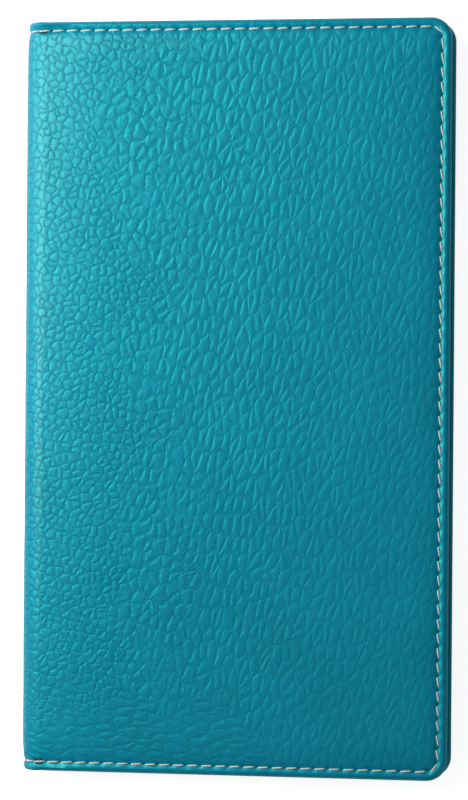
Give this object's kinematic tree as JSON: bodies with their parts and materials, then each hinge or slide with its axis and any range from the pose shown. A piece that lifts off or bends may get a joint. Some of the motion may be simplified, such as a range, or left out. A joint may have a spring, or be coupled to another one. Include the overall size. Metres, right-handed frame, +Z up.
{
  "type": "folding pocket calendar",
  "caption": "Folding pocket calendar: padded turquoise leather cover, cream seam, slip pockets and a concertina of folded paper leaves held by two end cards.",
  "frame": {"origin": "middle of the shut calendar's footprint, on the surface that it lies on", "axes": "+X from the spine to the fore edge, +Y from the tail to the head, +Z up through the thickness; shut, lying on its back cover"},
  "size_m": [0.092, 0.16, 0.0103],
  "materials": {
    "cover_leather": "satin",
    "pocket_leather": "satin",
    "lining": "matte",
    "padding": "matte",
    "board": "matte",
    "card": "matte",
    "calendar_paper": "matte",
    "thread": "matte"
  },
  "bodies": {
    "back_cover": {"back_leather": "cover_leather", "back_padding": "padding", "back_board": "board", "back_lining": "lining", "back_pocket": "pocket_leather", "back_pocket_hems": "pocket_leather", "back_needle_thread": "thread", "back_bobbin_thread": "thread"},
    "front_cover": {"front_leather": "cover_leather", "front_padding": "padding", "front_board": "board", "front_lining": "lining", "front_pocket": "pocket_leather", "front_pocket_hems": "pocket_leather", "front_needle_thread": "thread", "front_bobbin_thread": "thread"},
    "spine_1": {"spine_leather_1": "cover_leather", "spine_lining_1": "lining", "spine_thread_1": "thread"},
    "spine_2": {"spine_leather_2": "cover_leather", "spine_lining_2": "lining", "spine_thread_2": "thread"},
    "spine_3": {"spine_leather_3": "cover_leather", "spine_lining_3": "lining", "spine_thread_3": "thread"},
    "back_card": {"calendar_back_card": "card"},
    "front_card": {"calendar_front_card": "card"},
    "leaf_1": {"calendar_leaf_1": "calendar_paper"},
    "leaf_2": {"calendar_leaf_2": "calendar_paper"},
    "leaf_3": {"calendar_leaf_3": "calendar_paper"},
    "leaf_4": {"calendar_leaf_4": "calendar_paper"},
    "leaf_5": {"calendar_leaf_5": "calendar_paper"},
    "leaf_6": {"calendar_leaf_6": "calendar_paper"}
  },
  "joints": [
    {"name": "crease_1", "type": "hinge", "parent": "back_cover", "child": "spine_1", "pos_m": [-0.04299, 0, 0], "axis": [0, -1, 0], "range_deg": [0, 45]},
    {"name": "crease_2", "type": "hinge", "parent": "spine_1", "child": "spine_2", "pos_m": [-0.046, 0, 0.00301], "axis": [0, -1, 0], "range_deg": [0, 45]},
    {"name": "crease_3", "type": "hinge", "parent": "spine_2", "child": "spine_3", "pos_m": [-0.046, 0, 0.00725], "axis": [0, -1, 0], "range_deg": [0, 45]},
    {"name": "crease_4", "type": "hinge", "parent": "spine_3", "child": "front_cover", "pos_m": [-0.04299, 0, 0.01026], "axis": [0, -1, 0], "range_deg": [0, 45]},
    {"name": "back_card_slide", "type": "slide", "parent": "back_cover", "child": "back_card", "axis": [-1, 0, 0], "range_m": [0, 0.007]},
    {"name": "front_card_slide", "type": "slide", "parent": "front_cover", "child": "front_card", "axis": [-1, 0, 0], "range_m": [0, 0.007]},
    {"name": "leaf_1_turn", "type": "hinge", "parent": "spine_2", "child": "leaf_1", "pos_m": [-0.04199, 0, 0.00383], "axis": [0, -1, 0], "range_deg": [-64.29, 0]},
    {"name": "leaf_2_turn", "type": "hinge", "parent": "spine_2", "child": "leaf_2", "pos_m": [-0.04199, 0, 0.00435], "axis": [0, -1, 0], "range_deg": [-38.57, 0]},
    {"name": "leaf_3_turn", "type": "hinge", "parent": "spine_2", "child": "leaf_3", "pos_m": [-0.04199, 0, 0.00487], "axis": [0, -1, 0], "range_deg": [-12.86, 0]},
    {"name": "leaf_4_turn", "type": "hinge", "parent": "spine_2", "child": "leaf_4", "pos_m": [-0.04199, 0, 0.00539], "axis": [0, -1, 0], "range_deg": [0, 12.86]},
    {"name": "leaf_5_turn", "type": "hinge", "parent": "spine_2", "child": "leaf_5", "pos_m": [-0.04199, 0, 0.00591], "axis": [0, -1, 0], "range_deg": [0, 38.57]},
    {"name": "leaf_6_turn", "type": "hinge", "parent": "spine_2", "child": "leaf_6", "pos_m": [-0.04199, 0, 0.00643], "axis": [0, -1, 0], "range_deg": [0, 64.29]}
  ],
  "couplings": [
    {"joint": "crease_2", "follows": "crease_1", "ratio": 1},
    {"joint": "crease_3", "follows": "crease_1", "ratio": 1},
    {"joint": "crease_4", "follows": "crease_1", "ratio": 1},
    {"joint": "back_card_slide", "follows": "crease_1", "m_per_rad": 0.0089127},
    {"joint": "front_card_slide", "follows": "crease_1", "m_per_rad": 0.0089127},
    {"joint": "leaf_1_turn", "follows": "crease_1", "ratio": -1.4286},
    {"joint": "leaf_2_turn", "follows": "crease_1", "ratio": -0.85714},
    {"joint": "leaf_3_turn", "follows": "crease_1", "ratio": -0.28571},
    {"joint": "leaf_4_turn", "follows": "crease_1", "ratio": 0.28571},
    {"joint": "leaf_5_turn", "follows": "crease_1", "ratio": 0.85714},
    {"joint": "leaf_6_turn", "follows": "crease_1", "ratio": 1.4286}
  ]
}
